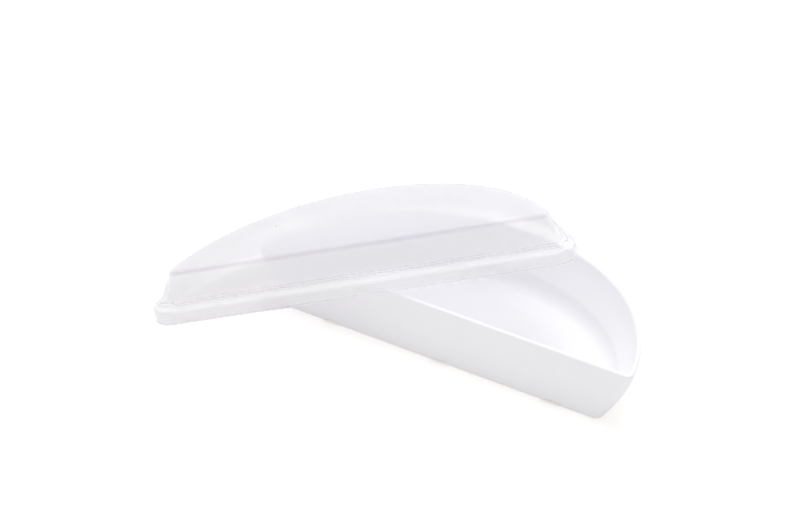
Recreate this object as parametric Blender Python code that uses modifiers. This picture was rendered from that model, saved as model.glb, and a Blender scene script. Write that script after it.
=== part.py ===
"""A half-moon ward dish with its loose frosted lid leaning over one end.

The dish stands on its foot ring. The lid lies askew: one end stands on the table and the rest of it
leans on the dish's rim. Metres, +Z up. The dish's straight wall runs along X, and the origin is below
the middle of the dish and lid together, on the surface they stand on.
"""

import math

import bmesh
import bpy

MM = 0.001

# Driving dimensions of the dish
DISH_LENGTH = 217 * MM
DISH_DEPTH = 86 * MM
DISH_HEIGHT = 31.4 * MM
DISH_CORNER_RADIUS = 3.5 * MM
WALL = 2.8 * MM
ARC_FLARE = 16.5 * MM
FLARE_POWER = 1.4
FRONT_DRAFT = 0.5 * MM
FLOOR_TOP = 4.6 * MM
FLOOR_FILLET = 8 * MM
FOOT_WIDTH = 4.5 * MM
FOOT_DEPTH = 1.6 * MM
FOOT_ROUND = 1.3 * MM
DRAIN_LENGTH = 10.5 * MM
DRAIN_HEIGHT = 1.9 * MM
DRAIN_SPACING = 63.5 * MM

# Driving dimensions of the lid
LID_OVERHANG = 1.7 * MM
LID_CORNER_RADIUS = 11 * MM
DOME_CORNER_RADIUS = 3 * MM
LID_THICKNESS = 1.2 * MM
SKIRT_HEIGHT = 7 * MM
SKIRT_DRAFT = 0.4 * MM
FLANGE_WIDTH = 8.2 * MM
STEP_WIDTH = 1.6 * MM
STEP_HEIGHT = 0.7 * MM
DOME_HEIGHT = 14.4 * MM
DOME_FRONT_DRAFT = 7.6 * MM
DOME_ARC_DRAFT = 3.9 * MM
DOME_STRETCH = 1.045
EDGE_RADIUS = 1.4 * MM
VENT_RADIUS = 0.5 * MM
VENT_PLACE = (-46 * MM, 47 * MM)

# Where the lid lies, from the middle of the dish's straight side
LID_PLACE = (-40.5 * MM, -5.3 * MM, 28.21 * MM)
LID_ROLL = math.radians(0.4)
LID_LEAN = math.radians(-15.2)
LID_TURN = math.radians(26.9)

# The middle of the dish's straight side, in the part's own frame
DISH_PLACE = (16.4 * MM, -17.3 * MM, 0.0)

FRONT_STEPS = 8
ARC_STEPS = 44
CORNER_STEPS = 5
WALL_STEPS = 7
ROUND_STEPS = 4

ARC_RADIUS = (DISH_LENGTH**2 / 4 + DISH_DEPTH**2) / (2 * DISH_DEPTH)
ARC_CENTRE_Y = DISH_DEPTH - ARC_RADIUS


def clear_scene():
    for existing in list(bpy.data.objects):
        bpy.data.objects.remove(existing, do_unlink=True)


def new_collection(name):
    collection = bpy.data.collections.new(name)
    bpy.context.scene.collection.children.link(collection)
    return collection


def principled(name, colour, roughness, alpha=1.0):
    material = bpy.data.materials.new(name)
    material.use_nodes = True
    shader = material.node_tree.nodes["Principled BSDF"]
    shader.inputs["Base Color"].default_value = (*colour, 1.0)
    shader.inputs["Roughness"].default_value = roughness
    shader.inputs["Metallic"].default_value = 0.0
    shader.inputs["Alpha"].default_value = alpha
    return material


def circle_points(centre, radius, start, end, steps):
    """Points along an arc, with both of its ends."""
    angles = [start + (end - start) * i / steps for i in range(steps + 1)]
    return [(centre[0] + radius * math.cos(a), centre[1] + radius * math.sin(a)) for a in angles]


def half_moon(front_inset, arc_inset, corner_radius):
    """The dish's outline drawn in by an inset on each side: a straight edge, two rounded corners, an arc."""
    radius = ARC_RADIUS - arc_inset
    corner_y = front_inset + corner_radius
    corner_x = math.sqrt((radius - corner_radius) ** 2 - (corner_y - ARC_CENTRE_Y) ** 2)
    turn = math.atan2(corner_y - ARC_CENTRE_Y, corner_x)
    right = circle_points((corner_x, corner_y), corner_radius, -math.pi / 2, turn, CORNER_STEPS)
    arc = circle_points((0, ARC_CENTRE_Y), radius, turn, math.pi - turn, ARC_STEPS)
    left = [(-x, y) for x, y in reversed(right)]
    edge = [(corner_x * (2 * i / FRONT_STEPS - 1), front_inset) for i in range(1, FRONT_STEPS)]
    return right + arc[1:-1] + left + edge


def skin(sections):
    """A surface through half-moon sections, each (height, front inset, arc inset, corner radius, stretch).

    Stretch lengthens the section along X. The surface is closed across the last section and open at the
    first, whose vertices are returned with it.
    """
    mesh = bmesh.new()
    rings = []
    for height, front_inset, arc_inset, corner_radius, stretch in sections:
        outline = half_moon(front_inset, arc_inset, corner_radius)
        rings.append([mesh.verts.new((stretch * x, y, height)) for x, y in outline])
    count = len(rings[0])
    for lower, upper in zip(rings, rings[1:]):
        for i in range(count):
            j = (i + 1) % count
            mesh.faces.new((lower[i], lower[j], upper[j], upper[i]))
    mesh.faces.new(rings[-1])
    return mesh, rings[0]


def finish_mesh(mesh, name, material, collection, sharp_angle):
    bmesh.ops.recalc_face_normals(mesh, faces=mesh.faces)
    data = bpy.data.meshes.new(name)
    mesh.to_mesh(data)
    mesh.free()
    data.materials.append(material)
    data.shade_smooth()
    data.set_sharp_from_angle(angle=sharp_angle)
    made = bpy.data.objects.new(name, data)
    collection.objects.link(made)
    return made


def flare_at(height):
    """How far the arc wall stands in from the rim at a height."""
    return ARC_FLARE * (1 - height / DISH_HEIGHT) ** FLARE_POWER


def draft_at(height):
    """How far the straight wall stands in from the rim at a height."""
    return FRONT_DRAFT * (1 - height / DISH_HEIGHT)


def wall_section(height, depth):
    """A section of the dish's wall at a height, drawn in by a depth from its outer face."""
    corner = max(DISH_CORNER_RADIUS, 0.5 * depth)
    return (height, draft_at(height) + depth, flare_at(height) + depth, corner, 1)


def dish_sections():
    rim_radius = WALL / 2
    rim_centre = DISH_HEIGHT - rim_radius
    sections = [wall_section(FOOT_DEPTH, FOOT_WIDTH), wall_section(0, FOOT_WIDTH - FOOT_ROUND)]
    sections.append(wall_section(0, FOOT_ROUND))
    for i in range(WALL_STEPS + 1):
        height = FOOT_ROUND + (rim_centre - FOOT_ROUND) * i / WALL_STEPS
        sections.append(wall_section(height, 0))
    for i in range(1, 2 * ROUND_STEPS):
        angle = math.pi * i / (2 * ROUND_STEPS)
        height = rim_centre + rim_radius * math.sin(angle)
        sections.append(wall_section(height, rim_radius * (1 - math.cos(angle))))
    fillet_top = FLOOR_TOP + FLOOR_FILLET
    for i in range(WALL_STEPS):
        sections.append(wall_section(rim_centre + (fillet_top - rim_centre) * i / WALL_STEPS, WALL))
    for i in range(ROUND_STEPS + 1):
        angle = math.pi / 2 * i / ROUND_STEPS
        reach = FLOOR_FILLET * (1 - math.cos(angle))
        height = fillet_top - FLOOR_FILLET * math.sin(angle)
        front = draft_at(fillet_top) + WALL + reach
        arc = flare_at(fillet_top) + WALL + reach
        sections.append((height, front, arc, DISH_CORNER_RADIUS + reach, 1))
    return sections


def as_cutter(cutter, collection):
    for holder in list(cutter.users_collection):
        holder.objects.unlink(cutter)
    collection.objects.link(cutter)
    cutter.hide_render = True
    cutter.display_type = "WIRE"
    return cutter


def cut(target, cutter, name):
    modifier = target.modifiers.new(name, "BOOLEAN")
    modifier.operation = "DIFFERENCE"
    modifier.solver = "EXACT"
    modifier.object = cutter
    cutter.parent = target


def drain_cutter(x, collection):
    """A shallow arch through the front of the foot ring."""
    bpy.ops.mesh.primitive_cylinder_add(vertices=48, radius=DRAIN_LENGTH / 2, depth=4 * FOOT_WIDTH)
    cutter = bpy.context.object
    cutter.name = f"drain_cutter_{round(x / MM)}"
    for vertex in cutter.data.vertices:
        vertex.co.y *= 2 * DRAIN_HEIGHT / DRAIN_LENGTH
    cutter.rotation_euler = (math.pi / 2, 0, 0)
    cutter.location = (x, 0, 0)
    return as_cutter(cutter, collection)


def make_dish(collection, cutters):
    material = principled("dish_white", (0.86, 0.86, 0.87), 0.28)
    mesh, underside = skin(dish_sections())
    mesh.faces.new(underside)
    dish = finish_mesh(mesh, "dish", material, collection, math.radians(40))
    for step in (-1, 0, 1):
        cut(dish, drain_cutter(step * DRAIN_SPACING, cutters), f"drain {step}")
    dish.location = DISH_PLACE
    return dish


def rounded(corner, before, after, radius):
    """Points that round a corner of a profile: a quadratic curve between the two runs that meet there."""
    points = []
    ends = []
    for other in (before, after):
        length = math.dist(corner, other)
        ends.append([c + (o - c) * radius / length for c, o in zip(corner, other)])
    for i in range(ROUND_STEPS + 1):
        t = i / ROUND_STEPS
        weights = ((1 - t) ** 2, 2 * t * (1 - t), t**2)
        points.append([sum(w * p[k] for w, p in zip(weights, (ends[0], corner, ends[1]))) for k in range(3)])
    return points


def lid_profile():
    """The lid's outer face as corners (height, front inset, arc inset), from the skirt's foot to the top."""
    step_end = FLANGE_WIDTH - STEP_WIDTH
    top = SKIRT_HEIGHT + STEP_HEIGHT + DOME_HEIGHT
    return [
        (0, 0, 0),
        (SKIRT_HEIGHT, SKIRT_DRAFT, SKIRT_DRAFT),
        (SKIRT_HEIGHT, step_end, step_end),
        (SKIRT_HEIGHT + STEP_HEIGHT, step_end, step_end),
        (SKIRT_HEIGHT + STEP_HEIGHT, FLANGE_WIDTH, FLANGE_WIDTH),
        (top, FLANGE_WIDTH + DOME_FRONT_DRAFT, FLANGE_WIDTH + DOME_ARC_DRAFT),
        (top, 2 * FLANGE_WIDTH + DOME_FRONT_DRAFT, 2 * FLANGE_WIDTH + DOME_ARC_DRAFT),
    ]


def lid_sections():
    corners = lid_profile()
    radii = (EDGE_RADIUS, STEP_HEIGHT / 2, STEP_HEIGHT / 2, STEP_WIDTH / 2, 1.5 * EDGE_RADIUS)
    points = [corners[0]]
    for i, radius in enumerate(radii, start=1):
        points += rounded(corners[i], corners[i - 1], corners[i + 1], radius)
    points.append(corners[-1])
    sections = []
    for height, front, arc in points:
        inward = min(1, front / FLANGE_WIDTH)
        corner = LID_CORNER_RADIUS + (DOME_CORNER_RADIUS - LID_CORNER_RADIUS) * inward
        stretch = 1 + (DOME_STRETCH - 1) * inward
        sections.append((height, front - LID_OVERHANG, arc - LID_OVERHANG, corner, stretch))
    return sections


def make_lid(collection, cutters):
    material = principled("lid_frosted", (0.93, 0.93, 0.95), 0.35, alpha=0.55)
    mesh, _ = skin(lid_sections())
    lid = finish_mesh(mesh, "lid", material, collection, math.radians(50))
    shell = lid.modifiers.new("shell", "SOLIDIFY")
    shell.thickness = LID_THICKNESS
    shell.offset = -1
    shell.use_even_offset = True
    bpy.ops.mesh.primitive_cylinder_add(vertices=12, radius=VENT_RADIUS, depth=10 * LID_THICKNESS)
    vent = as_cutter(bpy.context.object, cutters)
    vent.name = "vent_cutter"
    vent.location = (*VENT_PLACE, lid_profile()[-1][0])
    cut(lid, vent, "vent")
    lid.rotation_mode = "ZYX"
    lid.rotation_euler = (LID_ROLL, LID_LEAN, LID_TURN)
    lid.location = [d + p for d, p in zip(DISH_PLACE, LID_PLACE)]
    return lid


def main():
    clear_scene()
    parts = new_collection("lidded_half_moon_dish")
    cutters = new_collection("cutters")
    cutters.hide_render = True
    make_dish(parts, cutters)
    make_lid(parts, cutters)


main()
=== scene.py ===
"""The looks of a half-moon ward dish with its frosted lid leaning askew over one end.

Both pieces are moulded shells, so each is lofted through many half-moon outlines, finer than its CAD solid,
which it stands for. Metres, +Z up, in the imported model's frame.
"""

import math

import bmesh
import bpy
from mathutils import Euler, Matrix, Vector


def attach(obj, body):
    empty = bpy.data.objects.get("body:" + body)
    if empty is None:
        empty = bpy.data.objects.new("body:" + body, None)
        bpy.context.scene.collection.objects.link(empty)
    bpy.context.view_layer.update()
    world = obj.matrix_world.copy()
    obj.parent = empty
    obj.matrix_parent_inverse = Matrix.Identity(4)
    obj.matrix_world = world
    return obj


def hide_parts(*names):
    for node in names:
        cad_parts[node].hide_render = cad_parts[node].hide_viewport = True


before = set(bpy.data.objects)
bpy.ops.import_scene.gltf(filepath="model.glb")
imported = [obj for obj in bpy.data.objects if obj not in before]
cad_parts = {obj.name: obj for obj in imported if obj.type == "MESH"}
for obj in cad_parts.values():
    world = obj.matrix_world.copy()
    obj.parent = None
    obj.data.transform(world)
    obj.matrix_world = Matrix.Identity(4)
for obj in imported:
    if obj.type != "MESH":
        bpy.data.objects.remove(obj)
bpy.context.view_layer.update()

MM = 0.001

# The dish
DISH_LENGTH = 217 * MM
DISH_DEPTH = 86 * MM
DISH_HEIGHT = 31.4 * MM
DISH_CORNER_RADIUS = 3.5 * MM
WALL = 2.8 * MM
ARC_FLARE = 16.5 * MM
FLARE_POWER = 1.4
FRONT_DRAFT = 0.5 * MM
FLOOR_TOP = 4.6 * MM
FLOOR_FILLET = 8 * MM
FOOT_WIDTH = 4.5 * MM
FOOT_DEPTH = 1.6 * MM
FOOT_ROUND = 1.3 * MM
DRAIN_LENGTH = 10.5 * MM
DRAIN_HEIGHT = 1.9 * MM
DRAIN_SPACING = 63.5 * MM

# The lid
LID_OVERHANG = 1.7 * MM
LID_CORNER_RADIUS = 11 * MM
DOME_CORNER_RADIUS = 3 * MM
LID_THICKNESS = 1.2 * MM
SKIRT_HEIGHT = 7 * MM
SKIRT_DRAFT = 0.4 * MM
FLANGE_WIDTH = 8.2 * MM
STEP_WIDTH = 1.6 * MM
STEP_HEIGHT = 0.7 * MM
DOME_HEIGHT = 14.4 * MM
DOME_FRONT_DRAFT = 7.6 * MM
DOME_ARC_DRAFT = 3.9 * MM
DOME_STRETCH = 1.045
EDGE_RADIUS = 1.4 * MM
VENT_RADIUS = 0.5 * MM
VENT_PLACE = (-46 * MM, 47 * MM)

LID_PLACE = (-40.5 * MM, -5.3 * MM, 28.21 * MM)
LID_ROLL = math.radians(0.4)
LID_LEAN = math.radians(-15.2)
LID_TURN = math.radians(26.9)
DISH_PLACE = (16.4 * MM, -17.3 * MM, 0.0)

FRONT_STEPS = 220
ARC_STEPS = 180
CORNER_STEPS = 12
WALL_STEPS = 20
ROUND_STEPS = 10
RING_GAP = 0.8 * MM

ARC_RADIUS = (DISH_LENGTH**2 / 4 + DISH_DEPTH**2) / (2 * DISH_DEPTH)
ARC_CENTRE_Y = DISH_DEPTH - ARC_RADIUS

# The camera
VIEW_AZIMUTH = math.radians(33.0)
VIEW_ELEVATION = math.radians(33.25)
VIEW_DISTANCE = 2.225
VIEW_TARGET = (-0.0479, 0.0472, 0.0)
VIEW_LENS = 198.1

# Colours and light
DISH_SHADE = (0.974, 0.971, 0.984)
DISH_TINT = (0.983, 0.98, 0.99)
LID_SHADE = (0.972, 0.962, 0.992)
LID_TINT = (0.982, 0.972, 0.998)
LID_OPACITY = 0.3
LID_EDGE_OPACITY = 0.45
LID_SCATTER = 3 * MM
# A band of painted shade under the dome's top edge: its dark colour, how deep below the top it lies and how
# wide it is
PAINTED_SHADE_TINT = (0.72, 0.7, 0.75)
BAND_DEPTH = 1.5 * MM
BAND_WIDTH = 1.5 * MM
EDGE_WIDTH = 1.2 * MM
EDGE_CLEARING = -0.3
FLOOR_TINT = (0.93, 0.92, 0.91)
FLOOR_GLOW = (0.31, 0.3, 0.28)
SKY_TINT = (0.975, 0.975, 1.0)
SKY = 0.75
OVERHEAD_POWER = 7.0
DIFFUSE_BOUNCES = 16
ALL_BOUNCES = 24
CLEAR_BOUNCES = 32

# The Mix node's colour sockets, which share their names with its other ones
MIX_FIRST = 6
MIX_SECOND = 7
MIX_RESULT = 2


def circle_points(centre, radius, start, end, steps):
    """Points along an arc, with both of its ends."""
    angles = [start + (end - start) * i / steps for i in range(steps + 1)]
    return [(centre[0] + radius * math.cos(a), centre[1] + radius * math.sin(a)) for a in angles]


def half_moon(front_inset, arc_inset, corner_radius):
    """The dish's outline drawn in by an inset on each side: a straight edge, two rounded corners, an arc."""
    radius = ARC_RADIUS - arc_inset
    corner_y = front_inset + corner_radius
    corner_x = math.sqrt((radius - corner_radius) ** 2 - (corner_y - ARC_CENTRE_Y) ** 2)
    turn = math.atan2(corner_y - ARC_CENTRE_Y, corner_x)
    right = circle_points((corner_x, corner_y), corner_radius, -math.pi / 2, turn, CORNER_STEPS)
    arc = circle_points((0, ARC_CENTRE_Y), radius, turn, math.pi - turn, ARC_STEPS)
    left = [(-x, y) for x, y in reversed(right)]
    edge = [(corner_x * (2 * i / FRONT_STEPS - 1), front_inset) for i in range(1, FRONT_STEPS)]
    return right + arc[1:-1] + left + edge


def skin(sections):
    """A surface through half-moon sections, each (height, front inset, arc inset, corner radius, stretch).

    Stretch lengthens the section along X. The surface is closed across the last section and open at the
    first, whose vertices are returned with it.
    """
    mesh = bmesh.new()
    rings = []
    for height, front_inset, arc_inset, corner_radius, stretch in sections:
        outline = half_moon(front_inset, arc_inset, corner_radius)
        rings.append([mesh.verts.new((stretch * x, y, height)) for x, y in outline])
    count = len(rings[0])
    for lower, upper in zip(rings, rings[1:]):
        for i in range(count):
            j = (i + 1) % count
            mesh.faces.new((lower[i], lower[j], upper[j], upper[i]))
    mesh.faces.new(rings[-1])
    return mesh, rings[0]


def finish_mesh(mesh, name, material):
    bmesh.ops.recalc_face_normals(mesh, faces=mesh.faces)
    data = bpy.data.meshes.new(name)
    mesh.to_mesh(data)
    mesh.free()
    data.materials.append(material)
    data.shade_smooth()
    data.set_sharp_from_angle(angle=math.radians(35))
    made = bpy.data.objects.new(name, data)
    bpy.context.scene.collection.objects.link(made)
    return made


def flare_at(height):
    """How far the arc wall stands in from the rim at a height."""
    return ARC_FLARE * (1 - height / DISH_HEIGHT) ** FLARE_POWER


def draft_at(height):
    """How far the straight wall stands in from the rim at a height."""
    return FRONT_DRAFT * (1 - height / DISH_HEIGHT)


def wall_section(height, depth):
    """A section of the dish's wall at a height, drawn in by a depth from its outer face."""
    corner = max(DISH_CORNER_RADIUS, 0.5 * depth)
    return (height, draft_at(height) + depth, flare_at(height) + depth, corner, 1)


def foot_sections():
    """Under the foot ring and round its outer edge."""
    sections = [wall_section(FOOT_DEPTH, FOOT_WIDTH), wall_section(0, FOOT_WIDTH - FOOT_ROUND)]
    for i in range(ROUND_STEPS):
        angle = math.pi / 2 * i / ROUND_STEPS
        height = FOOT_ROUND * (1 - math.cos(angle))
        sections.append(wall_section(height, FOOT_ROUND * (1 - math.sin(angle))))
    return sections


def dish_sections():
    rim_radius = WALL / 2
    rim_centre = DISH_HEIGHT - rim_radius
    sections = foot_sections()
    for i in range(WALL_STEPS + 1):
        height = FOOT_ROUND + (rim_centre - FOOT_ROUND) * i / WALL_STEPS
        sections.append(wall_section(height, 0))
    for i in range(1, 2 * ROUND_STEPS):
        angle = math.pi * i / (2 * ROUND_STEPS)
        height = rim_centre + rim_radius * math.sin(angle)
        sections.append(wall_section(height, rim_radius * (1 - math.cos(angle))))
    fillet_top = FLOOR_TOP + FLOOR_FILLET
    for i in range(WALL_STEPS):
        sections.append(wall_section(rim_centre + (fillet_top - rim_centre) * i / WALL_STEPS, WALL))
    for i in range(ROUND_STEPS + 1):
        angle = math.pi / 2 * i / ROUND_STEPS
        reach = FLOOR_FILLET * (1 - math.cos(angle))
        height = fillet_top - FLOOR_FILLET * math.sin(angle)
        front = draft_at(fillet_top) + WALL + reach
        arc = flare_at(fillet_top) + WALL + reach
        sections.append((height, front, arc, DISH_CORNER_RADIUS + reach, 1))
    return sections


def drain_height(x):
    """How high a drain notch is at a place along the straight side."""
    offset = (x + DRAIN_SPACING / 2) % DRAIN_SPACING - DRAIN_SPACING / 2
    if abs(offset) > DRAIN_LENGTH / 2 or abs(x) > 1.5 * DRAIN_SPACING:
        return 0.0
    return DRAIN_HEIGHT * math.sqrt(1 - (2 * offset / DRAIN_LENGTH) ** 2)


def make_dish(material):
    mesh, underside = skin(dish_sections())
    mesh.faces.new(underside)
    for vertex in mesh.verts:
        if vertex.co.y < 1.2 * FOOT_WIDTH and vertex.co.z < FOOT_DEPTH:
            vertex.co.z = max(vertex.co.z, drain_height(vertex.co.x))
    return baked(finish_mesh(mesh, "half_moon_dish", material), Matrix.Translation(DISH_PLACE))


def rounded(corner, before, after, radius):
    """Points that round a corner of a profile: a quadratic curve between the two runs that meet there."""
    points = []
    ends = []
    for other in (before, after):
        length = math.dist(corner, other)
        ends.append([c + (o - c) * radius / length for c, o in zip(corner, other)])
    for i in range(ROUND_STEPS + 1):
        t = i / ROUND_STEPS
        weights = ((1 - t) ** 2, 2 * t * (1 - t), t**2)
        points.append([sum(w * p[k] for w, p in zip(weights, (ends[0], corner, ends[1]))) for k in range(3)])
    return points


def lid_profile(depth=0):
    """A face of the lid as corners (height, front inset, arc inset), from the skirt's foot to the top.

    The depth is how far the face lies below the outer one.
    """
    step_end = FLANGE_WIDTH - STEP_WIDTH
    step_top = SKIRT_HEIGHT + STEP_HEIGHT
    top = step_top + DOME_HEIGHT
    corners = [
        (depth, 0, 0),
        (SKIRT_HEIGHT, SKIRT_DRAFT, SKIRT_DRAFT),
        (SKIRT_HEIGHT, step_end, step_end),
        (step_top, step_end, step_end),
        (step_top, FLANGE_WIDTH, FLANGE_WIDTH),
        (top, FLANGE_WIDTH + DOME_FRONT_DRAFT, FLANGE_WIDTH + DOME_ARC_DRAFT),
        (top, 2 * FLANGE_WIDTH + DOME_FRONT_DRAFT, 2 * FLANGE_WIDTH + DOME_ARC_DRAFT),
    ]
    return [(height - depth, front + depth, arc + depth) for height, front, arc in corners]


def subdivided(points):
    """The profile's points with others between them, so that none are further apart than RING_GAP."""
    result = [points[0]]
    for before, after in zip(points, points[1:]):
        count = math.ceil(math.dist(before, after) / RING_GAP) or 1
        for i in range(1, count + 1):
            result.append([b + (a - b) * i / count for b, a in zip(before, after)])
    return result


def bell(value, middle, width):
    """1 at the middle, falling smoothly to 0 a width away."""
    return max(0.0, 1 - ((value - middle) / width) ** 2) ** 2


def mark_edges(mesh, sections):
    """Notes on each vertex how far it lies in the dark band of painted shade under the dome's edge, or on a
    clearer edge.
    """
    top = lid_profile()[-1][0]
    painted_shade = mesh.verts.layers.float.new("painted_shade")
    clearer = mesh.verts.layers.float.new("clearer")
    mesh.verts.ensure_lookup_table()
    ring = len(mesh.verts) // len(sections)
    for i, vertex in enumerate(mesh.verts):
        height = sections[i // ring][0]
        front = sections[i // ring][1] + LID_OVERHANG
        vertex[painted_shade] = bell(top - height, BAND_DEPTH, BAND_WIDTH) if front > FLANGE_WIDTH else 0.0
        foot = bell(height, 0, EDGE_WIDTH)
        on_step = front > FLANGE_WIDTH - STEP_WIDTH
        step = bell(height, SKIRT_HEIGHT + STEP_HEIGHT, EDGE_WIDTH) if on_step else 0.0
        vertex[clearer] = max(foot, step)


def face_sections(depth):
    """The sections of one face of the lid: the outer one, or the one a depth below it."""
    corners = lid_profile(depth)
    radii = (EDGE_RADIUS, STEP_HEIGHT / 2, STEP_HEIGHT / 2, STEP_WIDTH / 2, 1.5 * EDGE_RADIUS)
    points = [corners[0]]
    for i, radius in enumerate(radii, start=1):
        points += rounded(corners[i], corners[i - 1], corners[i + 1], radius)
    points.append(corners[-1])
    sections = []
    for height, front, arc in subdivided(points):
        inward = min(1, (front - depth) / FLANGE_WIDTH)
        corner = LID_CORNER_RADIUS + (DOME_CORNER_RADIUS - LID_CORNER_RADIUS) * inward
        stretch = 1 + (DOME_STRETCH - 1) * inward
        sections.append((height, front - LID_OVERHANG, arc - LID_OVERHANG, corner, stretch))
    return sections


def lid_sections():
    """Down the lid's inner face and up its outer one."""
    return face_sections(LID_THICKNESS)[::-1] + face_sections(0)


def lid_placing():
    turn = Euler((LID_ROLL, LID_LEAN, LID_TURN), "ZYX").to_matrix().to_4x4()
    return Matrix.Translation(Vector(DISH_PLACE) + Vector(LID_PLACE)) @ turn


def vent_cutter():
    bpy.ops.mesh.primitive_cylinder_add(vertices=32, radius=VENT_RADIUS, depth=10 * LID_THICKNESS)
    cutter = bpy.context.object
    cutter.location = (*VENT_PLACE, lid_profile()[-1][0])
    return cutter


def baked(piece, placing):
    """The piece with any modifiers made real and its placing moved into its mesh."""
    evaluated = piece.evaluated_get(bpy.context.evaluated_depsgraph_get())
    data = bpy.data.meshes.new_from_object(evaluated)
    data.transform(placing)
    piece.modifiers.clear()
    piece.data = data
    piece.location = (0, 0, 0)
    return piece


def make_lid(material):
    sections = lid_sections()
    mesh, inner_top = skin(sections)
    mesh.faces.new(inner_top)
    mark_edges(mesh, sections)
    lid = finish_mesh(mesh, "frosted_lid", material)
    cutter = vent_cutter()
    vent = lid.modifiers.new("vent", "BOOLEAN")
    vent.operation = "DIFFERENCE"
    vent.solver = "EXACT"
    vent.object = cutter
    lid = baked(lid, lid_placing())
    bpy.data.objects.remove(cutter, do_unlink=True)
    return lid


def new_material(name):
    material = bpy.data.materials.new(name)
    material.use_nodes = True
    return material, material.node_tree, material.node_tree.nodes["Principled BSDF"]


def noise(tree, scale, detail):
    place = tree.nodes.new("ShaderNodeTexCoord")
    texture = tree.nodes.new("ShaderNodeTexNoise")
    texture.inputs["Scale"].default_value = scale
    texture.inputs["Detail"].default_value = detail
    tree.links.new(place.outputs["Object"], texture.inputs["Vector"])
    return texture.outputs["Fac"]


def ramp(tree, factor, low, high):
    """Maps a texture's middle range to between two colours."""
    node = tree.nodes.new("ShaderNodeValToRGB")
    node.color_ramp.elements[0].position = 0.3
    node.color_ramp.elements[1].position = 0.7
    node.color_ramp.elements[0].color = (*low, 1)
    node.color_ramp.elements[1].color = (*high, 1)
    tree.links.new(factor, node.inputs["Fac"])
    return node.outputs["Color"]


def spread(tree, factor, low, high):
    node = tree.nodes.new("ShaderNodeMapRange")
    node.inputs["From Min"].default_value = 0.3
    node.inputs["From Max"].default_value = 0.7
    node.inputs["To Min"].default_value = low
    node.inputs["To Max"].default_value = high
    tree.links.new(factor, node.inputs["Value"])
    return node.outputs["Result"]


def bump(tree, height, strength, distance):
    node = tree.nodes.new("ShaderNodeBump")
    node.inputs["Strength"].default_value = strength
    node.inputs["Distance"].default_value = distance
    tree.links.new(height, node.inputs["Height"])
    return node.outputs["Normal"]


def dish_material():
    material, tree, shader = new_material("satin_white_plastic")
    mottle = noise(tree, 22, 3)
    tree.links.new(ramp(tree, mottle, DISH_SHADE, DISH_TINT), shader.inputs["Base Color"])
    tree.links.new(spread(tree, noise(tree, 60, 4), 0.30, 0.40), shader.inputs["Roughness"])
    tree.links.new(bump(tree, noise(tree, 900, 2), 0.15, 0.00005), shader.inputs["Normal"])
    shader.inputs["IOR"].default_value = 1.5
    return material


def attribute(tree, name):
    node = tree.nodes.new("ShaderNodeAttribute")
    node.attribute_name = name
    return node.outputs["Fac"]


def mixed(tree, factor, first, second):
    node = tree.nodes.new("ShaderNodeMix")
    node.data_type = "RGBA"
    tree.links.new(factor, node.inputs["Factor"])
    tree.links.new(first, node.inputs[MIX_FIRST])
    node.inputs[MIX_SECOND].default_value = (*second, 1)
    return node.outputs[MIX_RESULT]


def sheet_opacity(tree):
    """How much light one face of the frosted sheet scatters: more edge-on, less at the clearer edges."""
    facing = tree.nodes.new("ShaderNodeLayerWeight")
    facing.inputs["Blend"].default_value = 0.5
    opacity = tree.nodes.new("ShaderNodeMapRange")
    opacity.inputs["To Min"].default_value = LID_OPACITY
    opacity.inputs["To Max"].default_value = LID_EDGE_OPACITY
    tree.links.new(facing.outputs["Facing"], opacity.inputs["Value"])
    total = tree.nodes.new("ShaderNodeMath")
    total.operation = "ADD"
    total.use_clamp = True
    edge = tree.nodes.new("ShaderNodeMath")
    edge.operation = "MULTIPLY"
    edge.inputs[1].default_value = EDGE_CLEARING
    tree.links.new(attribute(tree, "clearer"), edge.inputs[0])
    tree.links.new(opacity.outputs["Result"], total.inputs[0])
    tree.links.new(edge.outputs["Value"], total.inputs[1])
    return total.outputs["Value"]


def lid_material():
    material, tree, shader = new_material("frosted_clear_plastic")
    mottle = noise(tree, 30, 3)
    tint = ramp(tree, mottle, LID_SHADE, LID_TINT)
    # The lid's colour darkens to a painted shade along the band under the dome's top edge
    tree.links.new(mixed(tree, attribute(tree, "painted_shade"), tint, PAINTED_SHADE_TINT), shader.inputs["Base Color"])
    tree.links.new(spread(tree, noise(tree, 80, 4), 0.34, 0.42), shader.inputs["Roughness"])
    tree.links.new(sheet_opacity(tree), shader.inputs["Alpha"])
    shader.inputs["IOR"].default_value = 1.49
    shader.inputs["Subsurface Weight"].default_value = 1.0
    shader.inputs["Subsurface Radius"].default_value = (1, 1, 1)
    shader.inputs["Subsurface Scale"].default_value = LID_SCATTER
    shader.inputs["Subsurface Anisotropy"].default_value = 0.6
    return material


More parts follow.
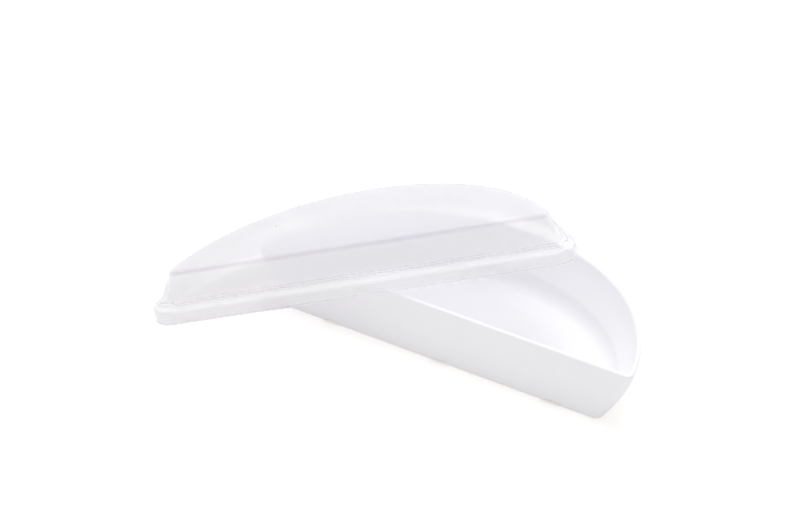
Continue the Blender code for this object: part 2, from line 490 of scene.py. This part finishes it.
def floor_material():
    """A pale floor that glows where it is seen directly, and not where it is seen through the lid."""
    material, tree, shader = new_material("pale_floor")
    shader.inputs["Base Color"].default_value = (*FLOOR_TINT, 1)
    shader.inputs["Roughness"].default_value = 0.9
    shader.inputs["Specular IOR Level"].default_value = 0.0
    shader.inputs["Emission Color"].default_value = (*FLOOR_GLOW, 1)
    seen = tree.nodes.new("ShaderNodeLightPath")
    bare = tree.nodes.new("ShaderNodeMath")
    bare.operation = "SUBTRACT"
    bare.use_clamp = True
    tree.links.new(seen.outputs["Is Camera Ray"], bare.inputs[0])
    tree.links.new(seen.outputs["Transparent Depth"], bare.inputs[1])
    tree.links.new(bare.outputs["Value"], shader.inputs["Emission Strength"])
    return material


def make_floor():
    bpy.ops.mesh.primitive_plane_add(size=8)
    floor = bpy.context.object
    floor.name = "floor"
    floor.data.materials.append(floor_material())


def area_light(name, place, aim, size, power):
    data = bpy.data.lights.new(name, "AREA")
    data.shape = "DISK"
    data.size = size
    data.energy = power
    light = bpy.data.objects.new(name, data)
    light.location = place
    light.rotation_euler = (Vector(aim) - Vector(place)).to_track_quat("-Z", "Y").to_euler()
    bpy.context.scene.collection.objects.link(light)


def make_light():
    world = bpy.data.worlds.new("studio")
    world.use_nodes = True
    world.node_tree.nodes["Background"].inputs["Color"].default_value = (*SKY_TINT, 1)
    world.node_tree.nodes["Background"].inputs["Strength"].default_value = SKY
    bpy.context.scene.world = world
    area_light("overhead", (-0.25, 0.45, 1.2), (0, 0, 0), 1.1, OVERHEAD_POWER)


def make_camera():
    data = bpy.data.cameras.new("camera")
    data.lens = VIEW_LENS
    data.sensor_width = 36
    data.clip_start = 0.1
    data.clip_end = 50
    camera = bpy.data.objects.new("camera", data)
    flat = math.cos(VIEW_ELEVATION)
    back = Vector((math.sin(VIEW_AZIMUTH) * flat, -math.cos(VIEW_AZIMUTH) * flat, math.sin(VIEW_ELEVATION)))
    camera.location = Vector(VIEW_TARGET) + back * VIEW_DISTANCE
    camera.rotation_euler = (-back).to_track_quat("-Z", "Y").to_euler()
    bpy.context.scene.collection.objects.link(camera)
    bpy.context.scene.camera = camera


def main():
    make_camera()
    make_light()
    make_floor()
    dish = make_dish(dish_material())
    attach(dish, "dish")
    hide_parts("dish")
    lid = make_lid(lid_material())
    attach(lid, "lid")
    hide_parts("lid")
    bpy.context.scene.view_settings.view_transform = "Standard"
    bpy.context.scene.cycles.max_bounces = ALL_BOUNCES
    bpy.context.scene.cycles.diffuse_bounces = DIFFUSE_BOUNCES
    bpy.context.scene.cycles.transparent_max_bounces = CLEAR_BOUNCES


main()
